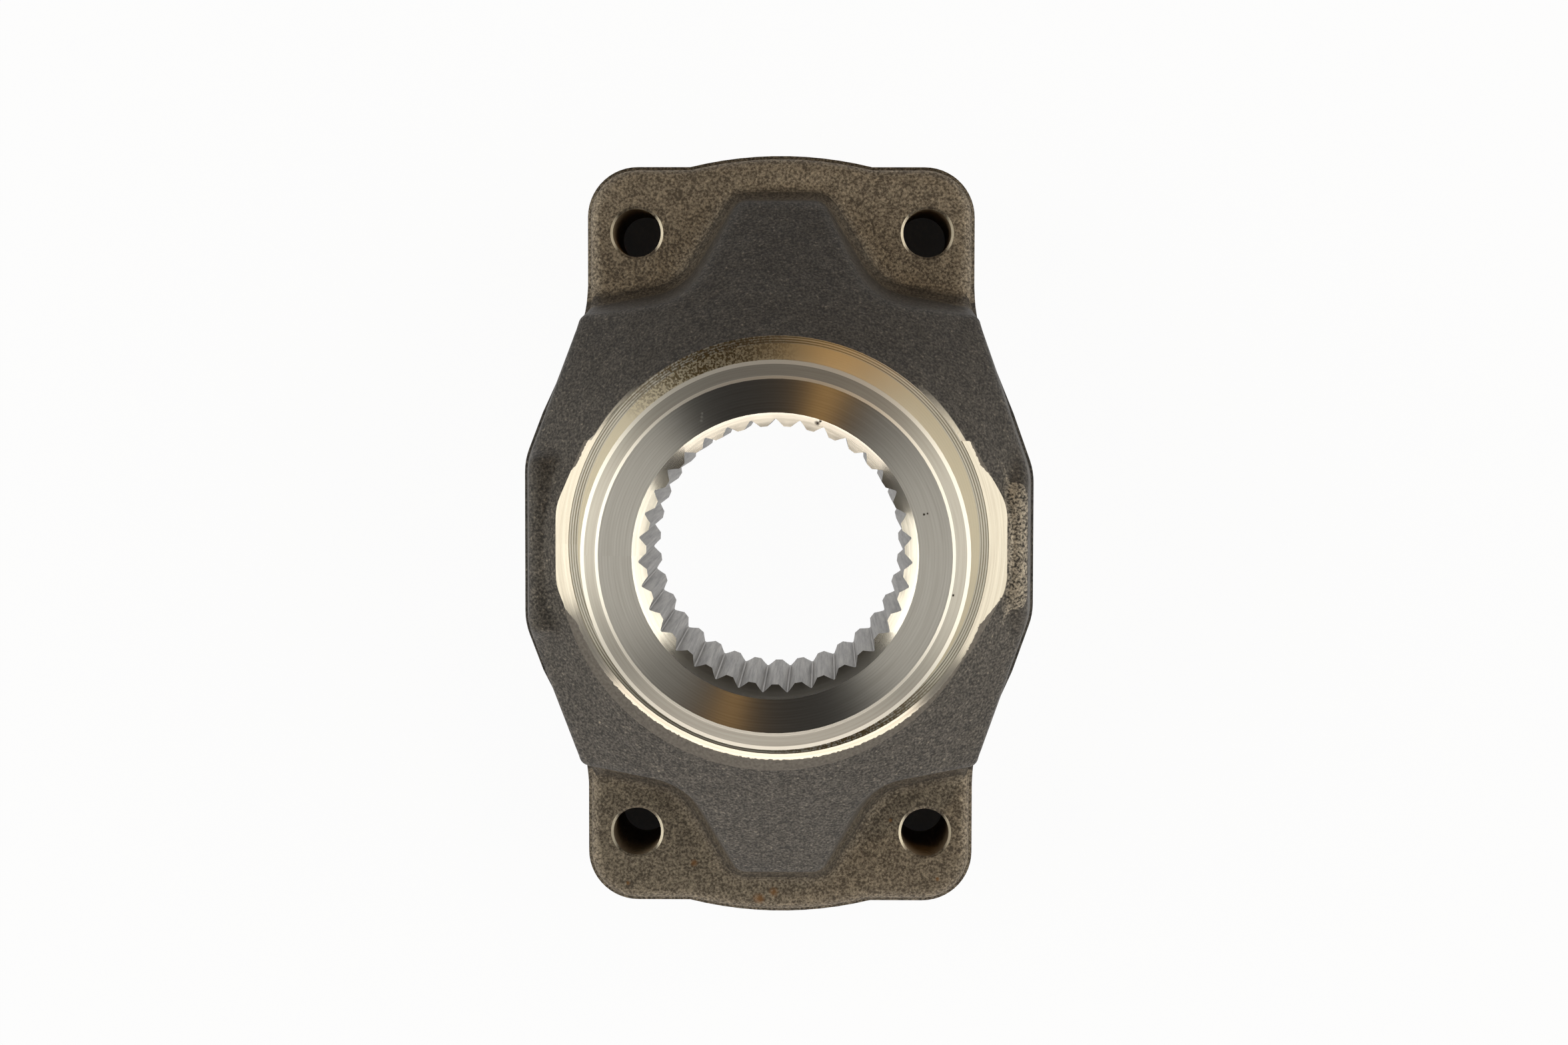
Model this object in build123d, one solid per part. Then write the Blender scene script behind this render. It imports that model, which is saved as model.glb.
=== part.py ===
from build123d import *
import math
import os

# Half-round end yoke of a drive shaft, forged in steel and machined.
# Millimetres. +Z is the hub axis, +Y is the axis of the bearing caps.
# The origin is where the two axes cross, in the plane of the ear end faces.

# Joint cross and bearing caps that the ears carry
cap_radius = 24.6
cross_length = 177.8
lip_depth = 7.6
seat_chamfer = 0.8

# Strap screws, one at each side of each cap
screw_spacing_x = 69.4
screw_spacing_y = 143.9
screw_hole_radius = 5.75
screw_hole_chamfer = 0.6

# Ears
ear_width = 92.0
ear_end_y = 88.1
ear_arc_radius = 90.75
ear_arc_width = 46.0
ear_pad_height = 37.0
ear_corner_radius = 11.6
ear_root_blend = 30.0

# Space between the ears, under the hub
crotch_half_width = 53.0
crotch_height = 54.0
crotch_radius = 40.0
crotch_draft = 2.0
crotch_edge_radius = 2.5

# Collar of the forging round the hub, seen from above
collar_width = 117.2
collar_right_flat_half = 16.6
collar_left_flat_half = 18.9
collar_taper_end = 52.0
collar_corner_radius = 15.0

# Turned hub, whose shoulder runs out in a cone that stops short of the collar's edge
hub_height = 122.0
hub_radius = 41.275
lead_radius = 37.9
lead_drop = 2.6
face_radius = 37.3
face_step = 0.35
shoulder_height = 80.3
shoulder_cone_angle = 40.0
shoulder_cone_width = 6.1
shoulder_to_edge = 5.2
shoulder_cone_radius = collar_width / 2 - shoulder_to_edge
shoulder_radius = shoulder_cone_radius - shoulder_cone_width
undercut_depth = 0.8
undercut_width = 3.0

# Roof of the forging, a cone that falls from the hub to the ends of the ribs
roof_under_cone = 3.9
roof_below_shoulder = 2.05
roof_radius = shoulder_cone_radius - roof_under_cone
roof_height = shoulder_height - roof_below_shoulder
rib_end_height = 45.0

# Rib down the middle of each ear
rib_end_y = 80.8
rib_end_half = 10.6
rib_root_y = 59.6
rib_root_half = 23.6
rib_flare_y = 55.2
rib_flare_radius = 14.0
wall_draft = 8.0
wall_foot_radius = 4.5
rib_corner_radius = 5.0
rib_edge_radius = 2.5

# Flat raised pads on the two sides of the collar, which differ as the dies left them
boss_below_shoulder = 5.8
boss_height = shoulder_height - boss_below_shoulder
boss_right_half = 12.0
boss_right_slope = 58.0
boss_right_round = 3.0
boss_left_half = 19.5
boss_left_slope = 25.0
boss_left_round = 2.5
boss_fold_radius = 2.0

# Neck of the forging, whose flat sides stay as two low tabs beside the turned cone
neck_right_inset = 1.55
neck_right_x = shoulder_cone_radius - neck_right_inset
neck_right_half = 9.5
neck_left_inset = 3.25
neck_left_x = shoulder_cone_radius - neck_left_inset
neck_left_half = 9.0
neck_corner_x = 43.5
neck_corner_y = 24.0
neck_corner_radius = 12.0

# Forging draft and the trimmed flash line
parting_below_boss = 16.5
parting_below_ears = 4.5
parting_height = boss_height - parting_below_boss
parting_height_ears = ear_pad_height - parting_below_ears
parting_flat_half = 30.0
parting_ramp_end = 60.0
upper_draft = 7.0
lower_draft = 1.0
flash_proud = 0.4
flash_width = 2.4
flash_depth = 1.5

# How far the forging lies off the machined axes
forging_shift_x = -0.25
forging_shift_y = -0.63

# Splined bore
spline_teeth = 35
spline_pitch_radius = 27.78
spline_pressure_angle = 45.0
spline_minor_radius = 27.3
spline_major_radius = 28.85
spline_length = 58.0
spline_mouth_radius = 30.2
spline_exit_radius = 29.6

# Seat of the shaft nut under the hub
nut_recess_radius = 37.0
nut_recess_corner = 1.5

# Faces that differ by more than this angle meet in a crease
crease_angle = 12.0
crease_probe = 0.05

# Small allowances: equal places, and how far a cut runs past the surface that it opens
near = 0.01
margin = 1.0
far = 300.0


def roof_slope():
    rise = roof_height - rib_end_height
    return rise / (rib_end_y - roof_radius)


def side_profile(points):
    """Closed outline in the Y-Z plane, from (y, z) points."""
    return make_face(Plane.YZ * Polyline(*points, close=True))


def along_x(profile, x_low, x_high):
    """Y-Z outline carried along X from one place to the other."""
    return Pos(x_low, 0, 0) * extrude(profile, x_high - x_low, dir=(1, 0, 0))


def corners_at_x(outline, x):
    """Corners at this distance from the Y-Z plane, on both sides."""
    return outline.vertices().filter_by(lambda v: abs(abs(v.X) - x) < near)


def corners_at_y(outline, y):
    """Corners at this distance from the X-Z plane, on both sides."""
    return outline.vertices().filter_by(lambda v: abs(abs(v.Y) - y) < near)


def plan_outline():
    """Parting outline seen along the hub axis, with a low arc across the end of each ear."""
    half_ear = ear_width / 2
    half_collar = collar_width / 2
    corners = [
        (half_collar, -collar_right_flat_half),
        (half_collar, collar_right_flat_half),
        (half_ear, collar_taper_end),
        (half_ear, ear_end_y),
        (-half_ear, ear_end_y),
        (-half_ear, collar_taper_end),
        (-half_collar, collar_left_flat_half),
        (-half_collar, -collar_left_flat_half),
        (-half_ear, -collar_taper_end),
        (-half_ear, -ear_end_y),
        (half_ear, -ear_end_y),
        (half_ear, -collar_taper_end),
    ]
    outline = make_face(Polyline(*corners, close=True))
    outline = fillet(corners_at_y(outline, ear_end_y), ear_corner_radius)
    outline = fillet(corners_at_x(outline, half_collar), collar_corner_radius)
    outline = fillet(corners_at_y(outline, collar_taper_end), ear_root_blend)
    arc_disc = Circle(ear_arc_radius) & Rectangle(ear_arc_width, far)
    return outline + arc_disc


def outline_block():
    """Solid inside the outline, with draft up and down from the parting plane."""
    outline = Pos(0, 0, parting_height) * plan_outline()
    upper = extrude(outline, hub_height - parting_height, taper=upper_draft)
    lower = extrude(outline, -parting_height, taper=lower_draft)
    return upper + lower


def crotch_cut():
    """Space between the ears: drafted walls running into a round arch under the hub."""
    top_half = crotch_half_width - crotch_height * math.tan(math.radians(crotch_draft))
    profile = side_profile([
        (crotch_half_width, 0),
        (top_half, crotch_height),
        (-top_half, crotch_height),
        (-crotch_half_width, 0),
    ])
    arch_corners = profile.vertices().filter_by(lambda v: v.Z > crotch_height / 2)
    return along_x(fillet(arch_corners, crotch_radius), -far / 2, far / 2)


def roof_cone(base_height):
    """Solid under the conical roof of the forging."""
    apex_height = roof_height + roof_slope() * roof_radius
    base_radius = (apex_height - base_height) / roof_slope()
    profile = make_face(Plane.XZ * Polyline(
        (0, base_height),
        (base_radius, base_height),
        (0, apex_height),
        close=True,
    ))
    return revolve(profile, Axis.Z)


def crown_footprint():
    """Outline of the collar and its two ribs where they meet the ear pads."""
    side_x = collar_width
    flare_slope = (rib_root_y - rib_flare_y) / (ear_width / 2 - rib_root_half)
    side_y = rib_root_y - flare_slope * (side_x - rib_root_half)
    corners = [
        (side_x, -side_y),
        (side_x, side_y),
        (rib_root_half, rib_root_y),
        (rib_end_half, rib_end_y),
        (-rib_end_half, rib_end_y),
        (-rib_root_half, rib_root_y),
        (-side_x, side_y),
        (-side_x, -side_y),
        (-rib_root_half, -rib_root_y),
        (-rib_end_half, -rib_end_y),
        (rib_end_half, -rib_end_y),
        (rib_root_half, -rib_root_y),
    ]
    footprint = make_face(Polyline(*corners, close=True))
    footprint = fillet(corners_at_y(footprint, rib_root_y), rib_flare_radius)
    return fillet(corners_at_y(footprint, rib_end_y), rib_corner_radius)


def crown():
    """Collar and ribs: drafted walls up to the conical roof."""
    footprint = Pos(0, 0, ear_pad_height) * crown_footprint()
    walls = extrude(footprint, hub_height - ear_pad_height, taper=wall_draft)
    return walls & roof_cone(0)


def side_boss(side, half, slope, round_radius):
    """Flat pad on one side of the collar, with sides that slope down onto the roof."""
    depth = boss_height - parting_height
    low_half = half + depth * math.tan(math.radians(slope))
    profile = side_profile([
        (half, boss_height),
        (-half, boss_height),
        (-low_half, parting_height),
        (low_half, parting_height),
    ])
    top_corners = profile.vertices().filter_by(lambda v: v.Z > parting_height + near)
    profile = fillet(top_corners, round_radius)
    if side > 0:
        return along_x(profile, 0, far)
    return along_x(profile, -far, 0)


def neck():
    """Neck of the forging under the shoulder, with a flat on each side."""
    corners = [
        (neck_right_x, -neck_right_half),
        (neck_right_x, neck_right_half),
        (neck_corner_x, neck_corner_y),
        (-neck_corner_x, neck_corner_y),
        (-neck_left_x, neck_left_half),
        (-neck_left_x, -neck_left_half),
        (-neck_corner_x, -neck_corner_y),
        (neck_corner_x, -neck_corner_y),
    ]
    outline = make_face(Polyline(*corners, close=True))
    flats = corners_at_x(outline, neck_right_x) + corners_at_x(outline, neck_left_x)
    outline = fillet(flats, neck_corner_radius)
    depth = shoulder_height - parting_height
    return Pos(0, 0, parting_height) * extrude(outline, depth)


def turned_space():
    """Space that turning clears round the hub, down to the shoulder and its cone."""
    cone_width = shoulder_cone_radius - shoulder_radius
    cone_drop = cone_width * math.tan(math.radians(shoulder_cone_angle))
    profile = make_face(Plane.XZ * Polyline(
        (0, shoulder_height),
        (shoulder_radius, shoulder_height),
        (shoulder_cone_radius, shoulder_height - cone_drop),
        (shoulder_cone_radius, far),
        (0, far),
        close=True,
    ))
    return revolve(profile, Axis.Z)


def creases(shape, outward=True):
    """Edges where two faces meet at an angle: those that stand out, or those that fold in."""
    faces_at = {}
    for face in shape.faces():
        for edge in face.edges():
            faces_at.setdefault(edge, []).append(face)
    found = ShapeList()
    for edge, faces in faces_at.items():
        if len(faces) != 2:
            continue
        middle = edge.position_at(0.5)
        first = faces[0].normal_at(middle)
        second = faces[1].normal_at(middle)
        if first.get_angle(second) < crease_angle:
            continue
        beside = middle + (first - second).normalized() * crease_probe
        folds_in = any(solid.is_inside(beside) for solid in shape.solids())
        if folds_in != outward:
            found.append(edge)
    return found


def is_forged_top(edge):
    """True for an upper edge that lies outside the turned shoulder."""
    place = edge.center()
    beyond_turning = math.hypot(place.X, place.Y) > shoulder_cone_radius - margin
    return place.Z > ear_pad_height - near and beyond_turning


def shifted(shape):
    """Forged shape moved to where it lies beside the machined axes."""
    return Pos(forging_shift_x, forging_shift_y) * shape


def forging():
    """The forged body over the full depth, before the space between the ears is opened."""
    body = crown() + extrude(Rectangle(far, far), ear_pad_height)
    body += side_boss(1, boss_right_half, boss_right_slope, boss_right_round)
    body += side_boss(-1, boss_left_half, boss_left_slope, boss_left_round)
    body = shifted(body & outline_block()) - turned_space()

    folds = creases(body, outward=False)
    feet = folds.filter_by(lambda e: e.center().Z < ear_pad_height + near)
    body = fillet(feet, wall_foot_radius)
    body = fillet(creases(body, outward=False), boss_fold_radius)
    body = fillet(creases(body).filter_by(is_forged_top), rib_edge_radius)
    return body + (shifted(neck()) - turned_space())


def opened(body):
    """The forging with the space between its ears, whose forged edges are rounded."""
    body -= crotch_cut()
    half_width = crotch_half_width + near

    def is_crotch_edge(edge):
        place = edge.center()
        inside = abs(place.Y) < half_width and place.Z < crotch_height + near
        return inside and abs(place.X) > nut_recess_radius and place.Z > near

    return fillet(creases(body).filter_by(is_crotch_edge), crotch_edge_radius)


def flash_line():
    """Low trimmed ridge that follows the parting line from the collar down to the ears."""
    outline = plan_outline()
    ring = offset(outline, flash_proud) - offset(outline, -flash_depth)
    sheet = extrude(Pos(0, 0, parting_height_ears - flash_width) * ring, far)
    half = flash_width / 2
    steps = [
        (-far, parting_height_ears),
        (-parting_ramp_end, parting_height_ears),
        (-parting_flat_half, parting_height),
        (parting_flat_half, parting_height),
        (parting_ramp_end, parting_height_ears),
        (far, parting_height_ears),
    ]
    upper = [(y, z + half) for y, z in steps]
    lower = [(y, z - half) for y, z in reversed(steps)]
    band = along_x(side_profile(upper + lower), -far, far)
    return sheet & band


def turned_hub():
    """Turned hub above the shoulder: seal journal, lead-in chamfer and end face."""
    relief_radius = hub_radius - undercut_depth
    relief_top = shoulder_height + undercut_width
    lead_top = hub_height - face_step
    profile = make_face(Plane.XZ * Polyline(
        (0, parting_height),
        (relief_radius, parting_height),
        (relief_radius, relief_top),
        (hub_radius, relief_top + undercut_depth),
        (hub_radius, lead_top - lead_drop),
        (lead_radius, lead_top),
        (face_radius, hub_height),
        (0, hub_height),
        close=True,
    ))
    return revolve(profile, Axis.Z)


def involute(angle):
    """Involute function of a pressure angle in radians."""
    return math.tan(angle) - angle


def space_half_angle(radius):
    """Half the angle of a tooth space of the bore at this radius."""
    pressure = math.radians(spline_pressure_angle)
    base_radius = spline_pitch_radius * math.cos(pressure)
    local = math.acos(base_radius / radius)
    return math.pi / (2 * spline_teeth) + involute(pressure) - involute(local)


def on_circle(radius, angle):
    """Point on a circle about the hub axis."""
    return (radius * math.cos(angle), radius * math.sin(angle))


def spline_outline():
    """Section of the splined bore: involute flanks between root and tip arcs."""
    pitch = 2 * math.pi / spline_teeth
    middle_radius = (spline_minor_radius + spline_major_radius) / 2
    tip_half = space_half_angle(spline_minor_radius)
    middle_half = space_half_angle(middle_radius)
    root_half = space_half_angle(spline_major_radius)
    edges = []
    for tooth in range(spline_teeth):
        middle = math.pi / 2 + tooth * pitch
        entry = on_circle(spline_minor_radius, middle - tip_half)
        rising = on_circle(middle_radius, middle - middle_half)
        root_start = on_circle(spline_major_radius, middle - root_half)
        root_middle = on_circle(spline_major_radius, middle)
        root_end = on_circle(spline_major_radius, middle + root_half)
        falling = on_circle(middle_radius, middle + middle_half)
        leave = on_circle(spline_minor_radius, middle + tip_half)
        tip_middle = on_circle(spline_minor_radius, middle + pitch / 2)
        next_entry = on_circle(spline_minor_radius, middle + pitch - tip_half)
        edges.append(ThreePointArc(entry, rising, root_start))
        edges.append(ThreePointArc(root_start, root_middle, root_end))
        edges.append(ThreePointArc(root_end, falling, leave))
        edges.append(ThreePointArc(leave, tip_middle, next_entry))
    return make_face(edges)


def bore_chamfer(mouth_radius, mouth_height, direction):
    """Cone of 45 degrees that opens one end of the bore; direction is +1 for the upper end."""
    inner = spline_minor_radius - margin
    inner_height = mouth_height - direction * (mouth_radius - inner)
    profile = make_face(Plane.XZ * Polyline(
        (0, mouth_height + direction * margin),
        (mouth_radius + margin, mouth_height + direction * margin),
        (inner, inner_height),
        (0, inner_height),
        close=True,
    ))
    return revolve(profile, Axis.Z)


def bore_cut():
    """Splined bore with its two chamfers and the round recess for the shaft nut."""
    nut_face = hub_height - spline_length
    teeth = extrude(Pos(0, 0, nut_face - margin) * spline_outline(), spline_length + 2 * margin)
    cut = teeth + bore_chamfer(spline_mouth_radius, hub_height, 1)
    cut += bore_chamfer(spline_exit_radius, nut_face, -1)
    recess = Pos(0, 0, nut_face) * Cylinder(
        nut_recess_radius, nut_face - cap_radius,
        align=(Align.CENTER, Align.CENTER, Align.MAX),
    )
    recess = fillet(recess.edges().group_by(Axis.Z)[-1], nut_recess_corner)
    return cut + recess


def seat_cut():
    """Half-round seats for the bearing caps; a low lip stays across the crown at each outer end."""
    seat = Cylinder(cap_radius, cross_length, rotation=(90, 0, 0))
    under_lip = Box(2 * cap_radius, far, 2 * (cap_radius - lip_depth))
    open_end = Cylinder(cap_radius, far, rotation=(90, 0, 0)) & under_lip
    wide = cap_radius + seat_chamfer + margin
    mouth = make_face(Plane.XZ * Polyline(
        (wide, -margin),
        (cap_radius - margin, seat_chamfer + margin),
        (margin - cap_radius, seat_chamfer + margin),
        (-wide, -margin),
        close=True,
    ))
    return seat + open_end + Pos(0, far / 2, 0) * extrude(mouth, far)


def screw_cut():
    """Four tapped holes for the strap screws, at tap size, with a chamfer at each end."""
    wide = screw_hole_radius + screw_hole_chamfer
    narrow = screw_hole_radius - screw_hole_chamfer
    low_sink = Cone(wide, narrow, 2 * screw_hole_chamfer)
    high_sink = Pos(0, 0, ear_pad_height) * Cone(narrow, wide, 2 * screw_hole_chamfer)
    hole = Cylinder(screw_hole_radius, far) + low_sink + high_sink
    places = GridLocations(screw_spacing_x, screw_spacing_y, 2, 2)
    return [place * hole for place in places]


def yoke():
    """The finished yoke."""
    body = opened(forging()) + (shifted(flash_line()) - turned_space())
    body += turned_hub()
    body -= bore_cut()
    body -= seat_cut()
    body -= screw_cut()
    return body


os.makedirs("parts", exist_ok=True)
export_step(yoke(), "parts/yoke.step")
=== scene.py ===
import math
import bpy
import numpy as np
from mathutils import Matrix, Vector


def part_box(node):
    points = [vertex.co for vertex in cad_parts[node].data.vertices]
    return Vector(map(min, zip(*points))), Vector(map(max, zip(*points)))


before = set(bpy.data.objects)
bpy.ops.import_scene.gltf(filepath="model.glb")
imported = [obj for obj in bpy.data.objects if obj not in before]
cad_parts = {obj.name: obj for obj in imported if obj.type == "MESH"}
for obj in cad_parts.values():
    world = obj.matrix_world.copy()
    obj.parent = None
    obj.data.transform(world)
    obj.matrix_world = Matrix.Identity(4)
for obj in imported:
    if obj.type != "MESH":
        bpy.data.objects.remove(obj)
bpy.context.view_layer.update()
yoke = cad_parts["yoke"]
print("loaded the yoke:", len(yoke.data.polygons), "triangles")


# sRGB hex, as a colour picker gives it, to the linear values that Blender wants
def fromHex(hexColour):
    channels = [int(hexColour[i:i + 2], 16) / 255 for i in (1, 3, 5)]
    linear = [c / 12.92 if c <= 0.04045 else ((c + 0.055) / 1.055) ** 2.4 for c in channels]
    return (*linear, 1.0)


# settings: properties of the node, or values for its inputs
# links: input name or number, and the node or the output that feeds it
def addNode(tree, kind, settings=None, links=None):
    node = tree.nodes.new(kind)
    for key, value in (settings or {}).items():
        if isinstance(key, str) and hasattr(node, key):
            setattr(node, key, value)
        else:
            node.inputs[key].default_value = value
    for key, source in (links or {}).items():
        output = source if isinstance(source, bpy.types.NodeSocket) else source.outputs[0]
        tree.links.new(output, node.inputs[key])
    return node


def newMaterial(name):
    material = bpy.data.materials.new(name)
    material.use_nodes = True
    material.node_tree.nodes.clear()
    return material, material.node_tree


photo = dict(
    width=2353,  # pixels of the photograph
    height=1568,
    focal=4218,  # pixels, from how much smaller the ears look than the hub
    faceAt=(1163.2, 835.0),  # pixel of the centre of the hub's end face
    faceDistance=0.590,  # metres from the lens, along the view
    hubAxis=(-61.5, -217.0, 4218.0),  # the object's +Z seen from the camera: right, up, towards it
    roll=0.14,  # degrees
    hubHeight=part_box("yoke")[1][2],
    sensorWidth=36,  # mm
)


def placeCamera(p):
    up = Vector(p["hubAxis"]).normalized()
    back = (Vector((0, 1, 0)) - up * up.y).normalized()
    across = back.cross(up)
    cameraTurn = Matrix((across, back, up)) @ Matrix.Rotation(math.radians(p["roll"]), 3, "Z")
    facePlace = Vector((
        (p["faceAt"][0] - p["width"] / 2) / p["focal"],
        -(p["faceAt"][1] - p["height"] / 2) / p["focal"],
        -1.0,
    )) * p["faceDistance"]
    data = bpy.data.cameras.new("camera")
    data.sensor_width = p["sensorWidth"]
    data.lens = p["sensorWidth"] * p["focal"] / p["width"]
    data.clip_start = 0.01
    data.clip_end = 20
    camera = bpy.data.objects.new("camera", data)
    bpy.context.scene.collection.objects.link(camera)
    place = Vector((0, 0, p["hubHeight"])) - cameraTurn @ facePlace
    camera.matrix_world = Matrix.Translation(place) @ cameraTurn.to_4x4()
    bpy.context.scene.camera = camera


placeCamera(photo)
print("camera placed")


# the object's own coordinates in millimetres
def placeInMillimetres(tree):
    coordinates = addNode(tree, "ShaderNodeTexCoord")
    return addNode(tree, "ShaderNodeVectorMath", {"operation": "SCALE", "Scale": 1000.0},
                   {0: coordinates.outputs["Object"]})


# Sizes of the yoke that the finishes need, in millimetres
yokeSizes = dict(
    padHeight=37.0,  # top of the ears
    partingAtCollar=58.0,  # the parting line falls from here
    partingAtEars=32.5,  # to here
    partingFallsFrom=30.0,  # distance from the middle where it starts to fall
    partingFallsTo=60.0,
    holeX=34.7,  # strap holes
    holeY=71.95,
    holeRadius=5.75,
    threadPitch=1.27,
    hubRadius=41.3,
    shoulderHeight=80.3,
    shoulderRadius=47.3,
    coneAngle=40.0,  # degrees, how steeply the turned cone falls from the shoulder
    coneFrom=47.0,  # just inside the cone
    coneTo=53.7,  # and just outside it
    turnedRadius=49.4,  # where turning meets the forging at the front and back
    bossHeight=74.5,
    bossFrom=50.5,  # distance of the bosses from the middle
    faceHeight=122.0,
    leadRadius=37.2,  # just inside the lead-in chamfer and its small step
    leadDepth=3.0,  # how far the two go down
    journalInside=38.0,  # less than the groove at the foot of the journal
    journalDepth=2.8,  # where the journal starts below the face
    boreRadius=28.85,  # bottoms of the tooth spaces
    boreEdge=31.5,  # outside the chamfer at the mouth of the bore
    mouthDepth=5.0,  # below that chamfer
    teethFrom=67.0,  # above the chamfer at the lower end of the teeth
    recessRadius=37.05,  # nut recess
    recessFrom=40.0,  # below it
    recessTo=67.0,  # and above it
    seatsFrom=40.0,  # distance of the cap seats from the middle
    seatReach=25.9,  # just past their chamfers
)

# Forged steel: hammered hot in dies, trimmed, then blasted with shot.
# That gives the eye a dark grey-brown skin with dull glints, rougher on the flat pads.
forging = dict(
    padDark="#4f463b",  # hollows of the shot marks on the pads
    padLight="#baac96",  # their crests
    ribDark="#312e2b",  # ribs and collar, where the metal flowed and came out smoother
    ribLight="#7d766d",
    ribStarts=1.0,  # mm above the pads
    ribFull=7.0,  # mm
    roughness=0.55,
    crestRoughness=-0.08,  # added to it on the crests
    hollowRoughness=0.1,  # and in the hollows
    metallic=0.4,
    shotMark=0.6,  # mm; the real ones are about half of that, too fine to show
    shotDepth=0.1,  # mm
    speckle=2.4,  # mm, scale left between the marks
    speckleDepth=0.16,  # mm
    speckleShare=0.3,  # in the colour
    wave=12.0,  # mm, soft unevenness from the dies
    waveDepth=0.6,  # mm
    crestFrom=0.4,  # heights of the unevenness, from 0 to 1
    crestFull=0.8,
    glint="#a99c86",  # painted glints on the crests, which the shot has polished, standing in for their sparkle
    glintFrom=0.64,
    glintFull=0.76,
    backShade="#1d1916",  # painted shade on the ribs, darker from the middle to the back
    backShadeShare=0.4,
    backShadeFrom=-10.0,  # mm from the middle, towards the back
    backShadeFull=45.0,
    cutMetalHighlight="#e9e1d0",  # cut metal that runs out beside the flats, painted bright as its highlight
    cutInside=1.3,  # mm inside the turned radius
    cutRamp=0.1,  # mm
    cutFadesFrom=25.0,  # mm from the middle
    cutFadesTo=36.0,
    cutBelow=4.0,  # mm below the shoulder at most
    bossHighlight="#dccfba",  # painted highlight on the tops of the two bosses on the right, where the right lamp reflects
    bossHighlightBelow=1.5,  # mm below their height at most
    bossHighlightRamp=2.0,  # mm
    fold="#26211d",  # painted shade in the folds at the feet of the ribs
    foldShare=0.8,
    foldTilt=(0.99, 0.8),  # how far up the surface faces, from clear to full
    foldClear=0.05,  # mm above the pads, so that these stay clear
    foldStarts=0.5,  # mm above the pads, full up to here
    foldHeight=4.5,  # mm above the pads, gone here
    flashColour="#8d8576",  # sheared metal along the parting line
    flashHalf=1.3,  # mm
    flashTilt=0.5,  # most that its surface may face up or down, where 1 is straight up
    rustColour="#7c5326",
    rustShare=0.75,
    rustSpots=[  # mm: x, y, radius, on the front ear
        (-21.0, -79.6, 0.7), (-37.0, -84.6, 0.4), (-5.2, -88.2, 1.1),
        (-1.8, -86.7, 0.9), (26.4, -69.1, 0.4), (37.8, -83.3, 0.4),
    ],
    dentAt=(1.3, -58.7, 61.0),  # mm, a small dent on the front rib
    dentRadius=1.0,  # mm
    dentDepth=0.6,  # mm
    dentRimWide=1.5,  # times the dent's radius
    dentColour="#1d1a18",
    dentRim="#a89c8a",
    mouthHighlight="#f6ecd6",  # painted highlight on the countersunk mouths of the strap holes
    mouthWide=0.6,  # mm
    mouthFrom=0.75,  # it shows at the left and right, in shares of the hole's radius
    mouthFull=0.95,
    softEdge=0.004,  # metres, how far the forged edges are rubbed round
    softSamples=6,
    crispNear=4.0,  # mm beside a cut edge that stay sharp
    crispRamp=1.0,  # mm
)

# Edge of a small spot, in shares of its radius
spotEdge = dict(ragged=1.6, full=1.3, gone=2.3)


# 1 on a spot of this radius and 0 away from it, with an edge made ragged by a noise
def spot(tree, place, noise, centre, radius, edge=spotEdge):
    distance = addNode(tree, "ShaderNodeVectorMath", {"operation": "DISTANCE", 1: centre}, {0: place})
    uneven = addNode(tree, "ShaderNodeMath", {"operation": "MULTIPLY_ADD", 1: radius * edge["ragged"]},
                     {0: noise, 2: distance.outputs["Value"]})
    return addNode(tree, "ShaderNodeMapRange", {
        "From Min": radius * edge["full"], "From Max": radius * edge["gone"], "To Min": 1.0, "To Max": 0.0,
    }, {0: uneven})


# where a point of the surface lies, in the ways that the forged finish asks for
def surfacePlace(tree, sizes):
    place = placeInMillimetres(tree)
    axes = addNode(tree, "ShaderNodeSeparateXYZ", links={0: place})
    geometry = addNode(tree, "ShaderNodeNewGeometry")
    facing = addNode(tree, "ShaderNodeSeparateXYZ", links={0: geometry.outputs["True Normal"]})
    fromMiddle = addNode(tree, "ShaderNodeMath", {"operation": "ABSOLUTE"}, {0: axes.outputs["Y"]})
    ground = addNode(tree, "ShaderNodeVectorMath", {"operation": "MULTIPLY", 1: (1, 1, 0)}, {0: place})
    fromAxis = addNode(tree, "ShaderNodeVectorMath", {"operation": "LENGTH"}, {0: ground})
    quarter = addNode(tree, "ShaderNodeVectorMath", {"operation": "ABSOLUTE"}, {0: ground})
    fromHole = addNode(tree, "ShaderNodeVectorMath",
                       {"operation": "DISTANCE", 1: (sizes["holeX"], sizes["holeY"], 0)}, {0: quarter})
    return dict(
        place=place, x=axes.outputs["X"], y=axes.outputs["Y"], z=axes.outputs["Z"],
        up=facing.outputs["Z"], normal=geometry.outputs["Normal"], fromMiddle=fromMiddle,
        fromAxis=fromAxis.outputs["Value"], quarter=quarter, fromHole=fromHole.outputs["Value"],
    )


# run-out of the turned cone beside the flats: bare cut metal, painted bright as its highlight
def turnedRunOut(tree, at, f, sizes):
    edge = sizes["turnedRadius"] - f["cutInside"]
    inside = addNode(tree, "ShaderNodeMapRange", {
        "From Min": edge - f["cutRamp"], "From Max": edge + f["cutRamp"], "To Min": 1.0, "To Max": 0.0,
    }, {0: at["fromAxis"]})
    beside = addNode(tree, "ShaderNodeMapRange", {
        "From Min": f["cutFadesFrom"], "From Max": f["cutFadesTo"], "To Min": 1.0, "To Max": 0.0,
    }, {0: at["fromMiddle"]})
    atTop = addNode(tree, "ShaderNodeMath",
                    {"operation": "GREATER_THAN", 1: sizes["shoulderHeight"] - f["cutBelow"]}, {0: at["z"]})
    near = addNode(tree, "ShaderNodeMath", {"operation": "MULTIPLY"}, {0: inside, 1: beside})
    return addNode(tree, "ShaderNodeMath", {"operation": "MULTIPLY"}, {0: near, 1: atTop})
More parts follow.
